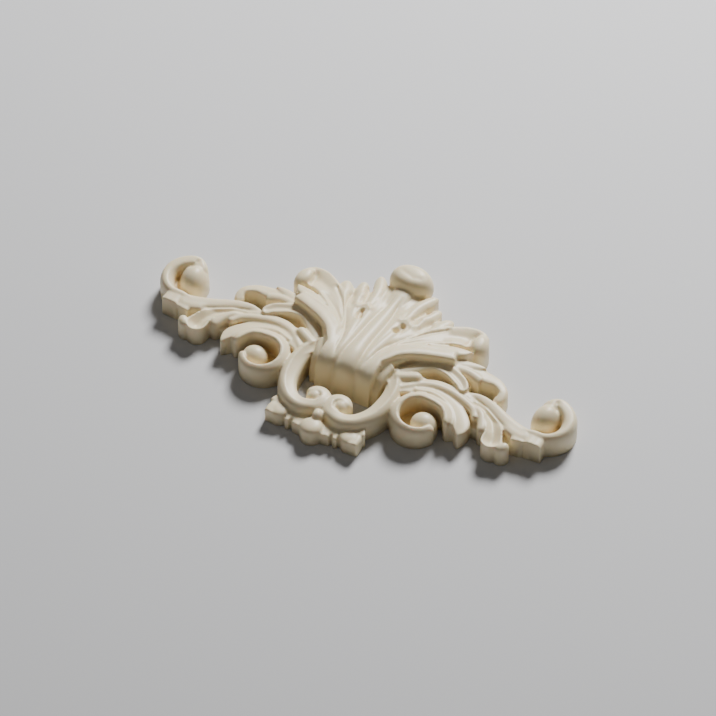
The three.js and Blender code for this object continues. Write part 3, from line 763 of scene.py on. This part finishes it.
def carve(mesh):
    # creases go in along the surface's own direction, pits and raised edges along z
    places = getPlaces(mesh) / mm
    normals = getNormals(mesh)
    mirrored = places.copy()
    mirrored[:, 0] = np.abs(places[:, 0])
    cut = np.zeros(len(places))
    sunk = np.zeros(len(places))
    shortest = carving["shortestFade"]
    for line in creases.values():
        # a line over the middle is cut once, any other one on both sides
        isMiddle = min(point[0] for point in line["points"]) < 0
        distance, along, length = lineDistance(places if isMiddle else mirrored, line["points"])
        start, end = line["fade"]
        strength = ramp(along, 0, max(start, shortest)) * ramp(length - along, 0, max(end, shortest))
        sharp = np.exp(-(distance / line["width"]) ** 2)
        hollow = np.exp(-(distance / line["hollow"]) ** 2)
        cut = np.maximum(cut, line["depth"] * strength * (sharp + hollow) / 2)
    for pit in pits.values():
        distance = lineDistance(mirrored, pit["points"])[0]
        floorHeight = np.mean([point[2] for point in pit["points"]]) - pit["depth"]
        share = np.exp(-(distance / pit["width"]) ** 4)
        sunk = np.maximum(sunk, share * np.clip(places[:, 2] - floorHeight, 0, None))
    for lift in raised.values():
        distance = lineDistance(mirrored, lift["points"])[0]
        sunk -= lift["depth"] * np.exp(-(distance / lift["width"]) ** 2)
    cut[places[:, 2] < carving["backMargin"]] = 0
    sunk *= ramp(places[:, 2], *carving["upperZ"])
    places -= normals * cut[:, None]
    places[:, 2] -= sunk
    setPlaces(mesh, places * mm)


carve(onlay.data)
applyModifier(
    onlay, "carvingPolished", "SMOOTH", factor=relief["polishFactor"], iterations=relief["polishRounds"])
print("creases carved")

# Back cut flat by a slab that lies under it
slabSize = (0.4, 0.4, 0.02)
slabCentre = (0, 0.03, -0.01)
deselectAll()
bpy.ops.mesh.primitive_cube_add(size=1)
slab = bpy.context.object
setPlaces(slab.data, getPlaces(slab.data) * np.array(slabSize) + np.array(slabCentre))
activate(onlay)
applyModifier(onlay, "flatBack", "BOOLEAN", operation="DIFFERENCE", object=slab, solver="MANIFOLD")
bpy.data.objects.remove(slab)

startEditing()
bpy.ops.mesh.quads_convert_to_tris()
bpy.ops.object.mode_set(mode="OBJECT")
faces = len(onlay.data.polygons)
if faces > relief["maxFaces"]:
    applyModifier(onlay, "fewerFaces", "DECIMATE", ratio=relief["maxFaces"] / faces)

# Specks closed in between the forms come off
activate(onlay)
startEditing()
bpy.ops.mesh.separate(type="LOOSE")
bpy.ops.object.mode_set(mode="OBJECT")
shells = sorted(bpy.context.selected_objects, key=lambda shell: len(shell.data.polygons))
onlay = shells.pop()
for speck in shells:
    bpy.data.objects.remove(speck)
activate(onlay)
onlay.name = "onlayRelief"
print("flat back:", len(onlay.data.polygons), "faces,", len(shells), "specks off")

# Fitted to the solid's own box
places = getPlaces(onlay.data)
low, high = places.min(0), places.max(0)
wantLow, wantHigh = np.array(cadBox[0]), np.array(cadBox[1])
places = wantLow + (places - low) * (wantHigh - wantLow) / (high - low)
setPlaces(onlay.data, places)
bpy.ops.object.shade_smooth()

# Painted shade for the recesses, in metres: how far a point lies under the mean level of what is round it
recessShadeMask = {
    "cell": 0.0005,
    "reach": 6,               # cells either way that the mean takes in
    "rounds": 2,
    "margin": 0.01,
    "fullDepth": 0.004,
    "cover": (0.7, 0.95),     # share of onlay in what is round it, so that outer walls get no painted shade
}


# painted shade per point: the deeper it lies under its surroundings, well inside the onlay, the more
# shade is painted
def recessShadeOf(places):
    cell, reach = recessShadeMask["cell"], recessShadeMask["reach"]
    low = places.min(0)[:2] - recessShadeMask["margin"]
    size = np.ceil((places.max(0)[:2] + recessShadeMask["margin"] - low) / cell).astype(int)
    column = ((places[:, :2] - low) / cell).astype(int)
    heights = np.zeros(size)
    np.maximum.at(heights, (column[:, 0], column[:, 1]), places[:, 2])
    blurred = np.stack([heights, (heights > 0).astype(float)])
    for _ in range(recessShadeMask["rounds"]):
        for axis in (1, 2):
            pads = [(reach + 1, reach) if a == axis else (0, 0) for a in (0, 1, 2)]
            summed = np.cumsum(np.pad(blurred, pads, mode="edge"), axis=axis)
            ahead = np.take(summed, range(2 * reach + 1, summed.shape[axis]), axis)
            behind = np.take(summed, range(0, summed.shape[axis] - 2 * reach - 1), axis)
            blurred = (ahead - behind) / (2 * reach + 1)
    level, cover = blurred[:, column[:, 0], column[:, 1]]
    return ramp(level - places[:, 2], 0, recessShadeMask["fullDepth"]) * ramp(cover, *recessShadeMask["cover"])


# painted shade: how deep each point sits in a recess, later used to paint its colour darker and warmer
recessShade = onlay.data.attributes.new("recessShade", "FLOAT", "POINT")
recessShade.data.foreach_set("value", recessShadeOf(places).astype(np.float32))

# ivory colour of the polyurethane; the second colour is painted shade for the recesses, blended in
# between the two shares that follow it
polyurethane = {
    "colour": (0.88, 0.76, 0.51),
    "recessShadeColour": (0.72, 0.54, 0.28),
    "recessShadeFrom": 0.1,
    "recessShadeTo": 0.9,
    "roughness": 0.42,
    "subsurface": 0.25,
    "glow": (1.0, 0.62, 0.34),
    "glowDepth": 0.0015,
    "grainScale": 900,
    "grainDetail": 3,
    "grainStrength": 0.35,
    "grainDepth": 0.00004,
}


def makePolyurethane(look):
    material = bpy.data.materials.new("ivoryPolyurethane")
    material.use_nodes = True
    nodes, links = material.node_tree.nodes, material.node_tree.links
    shader = nodes["Principled BSDF"]
    shader.inputs["Roughness"].default_value = look["roughness"]
    shader.inputs["Subsurface Weight"].default_value = look["subsurface"]
    shader.inputs["Subsurface Radius"].default_value = look["glow"]
    shader.inputs["Subsurface Scale"].default_value = look["glowDepth"]
    # painted shade: the base colour turns towards the darker, warmer recess colour where the recess
    # attribute is high
    recessShadeInput = nodes.new("ShaderNodeAttribute")
    recessShadeInput.attribute_name = "recessShade"
    deeper = nodes.new("ShaderNodeMapRange")
    deeper.inputs["From Min"].default_value = look["recessShadeFrom"]
    deeper.inputs["From Max"].default_value = look["recessShadeTo"]
    mix = nodes.new("ShaderNodeMix")
    mix.data_type = "RGBA"
    mix.inputs["A"].default_value = (*look["colour"], 1)
    mix.inputs["B"].default_value = (*look["recessShadeColour"], 1)
    links.new(recessShadeInput.outputs["Fac"], deeper.inputs["Value"])
    links.new(deeper.outputs["Result"], mix.inputs["Factor"])
    links.new(mix.outputs["Result"], shader.inputs["Base Color"])
    where = nodes.new("ShaderNodeTexCoord")
    noise = nodes.new("ShaderNodeTexNoise")
    noise.inputs["Scale"].default_value = look["grainScale"]
    noise.inputs["Detail"].default_value = look["grainDetail"]
    bump = nodes.new("ShaderNodeBump")
    bump.inputs["Strength"].default_value = look["grainStrength"]
    bump.inputs["Distance"].default_value = look["grainDepth"]
    links.new(where.outputs["Object"], noise.inputs["Vector"])
    links.new(noise.outputs["Fac"], bump.inputs["Height"])
    links.new(bump.outputs["Normal"], shader.inputs["Normal"])
    return material


onlay.data.materials.clear()
onlay.data.materials.append(makePolyurethane(polyurethane))
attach(onlay, "root")
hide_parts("onlay")
print("material set")

# Floor, lights and camera. A light's place is to the right of the picture, away and up.
stage = {
    "floorSize": 6,
    "floorColour": (0.66, 0.66, 0.67),
    "floorRoughness": 0.8,
    "keyPower": 22.0,
    "keySize": 0.36,
    "keyPlace": (0.35, 0.75, 0.7),
    "fillPower": 0.35,
    "fillSize": 0.8,
    "fillPlace": (-0.8, -0.2, 0.7),
    "world": 0.09,
    "aim": (-0.00399, 0.00297, 0.0),
    "azimuth": 28.47,
    "cameraDirection": (0.3253, -0.5999, 0.7310),
    "cameraDistance": 1.8547,
    "sensor": 36,
    "lens": 242.2,
    "farthest": 50,
}

deselectAll()
bpy.ops.mesh.primitive_plane_add(size=stage["floorSize"])
floor = bpy.context.object
floor.name = "floor"
floorMaterial = bpy.data.materials.new("paleFloor")
floorMaterial.use_nodes = True
floorShader = floorMaterial.node_tree.nodes["Principled BSDF"]
floorShader.inputs["Base Color"].default_value = (*stage["floorColour"], 1)
floorShader.inputs["Roughness"].default_value = stage["floorRoughness"]
floor.data.materials.append(floorMaterial)

aim = np.array(stage["aim"])
azimuth = math.radians(stage["azimuth"])
pictureAxes = np.array([
    (math.cos(azimuth), math.sin(azimuth), 0),
    (-math.sin(azimuth), math.cos(azimuth), 0),
    (0, 0, 1),
])


def pointAt(thing, target):
    direction = Vector(target) - thing.location
    thing.rotation_euler = direction.to_track_quat("-Z", "Y").to_euler()


def addSoftLight(name, place, power, size):
    data = bpy.data.lights.new(name, "AREA")
    data.shape = "DISK"
    data.size = size
    data.energy = power
    light = bpy.data.objects.new(name, data)
    bpy.context.scene.collection.objects.link(light)
    light.location = aim + np.array(place) @ pictureAxes
    pointAt(light, aim)


addSoftLight("keyLight", stage["keyPlace"], stage["keyPower"], stage["keySize"])
addSoftLight("fillLight", stage["fillPlace"], stage["fillPower"], stage["fillSize"])

world = bpy.data.worlds.new("studio")
world.use_nodes = True
world.node_tree.nodes["Background"].inputs["Color"].default_value = (1, 1, 1, 1)
world.node_tree.nodes["Background"].inputs["Strength"].default_value = stage["world"]
bpy.context.scene.world = world

camera = bpy.data.objects.new("camera", bpy.data.cameras.new("camera"))
bpy.context.scene.collection.objects.link(camera)
camera.data.sensor_width = stage["sensor"]
camera.data.lens = stage["lens"]
camera.data.clip_end = stage["farthest"]
camera.location = aim + stage["cameraDistance"] * np.array(stage["cameraDirection"])
pointAt(camera, aim)
bpy.context.scene.camera = camera

print("scene ready")
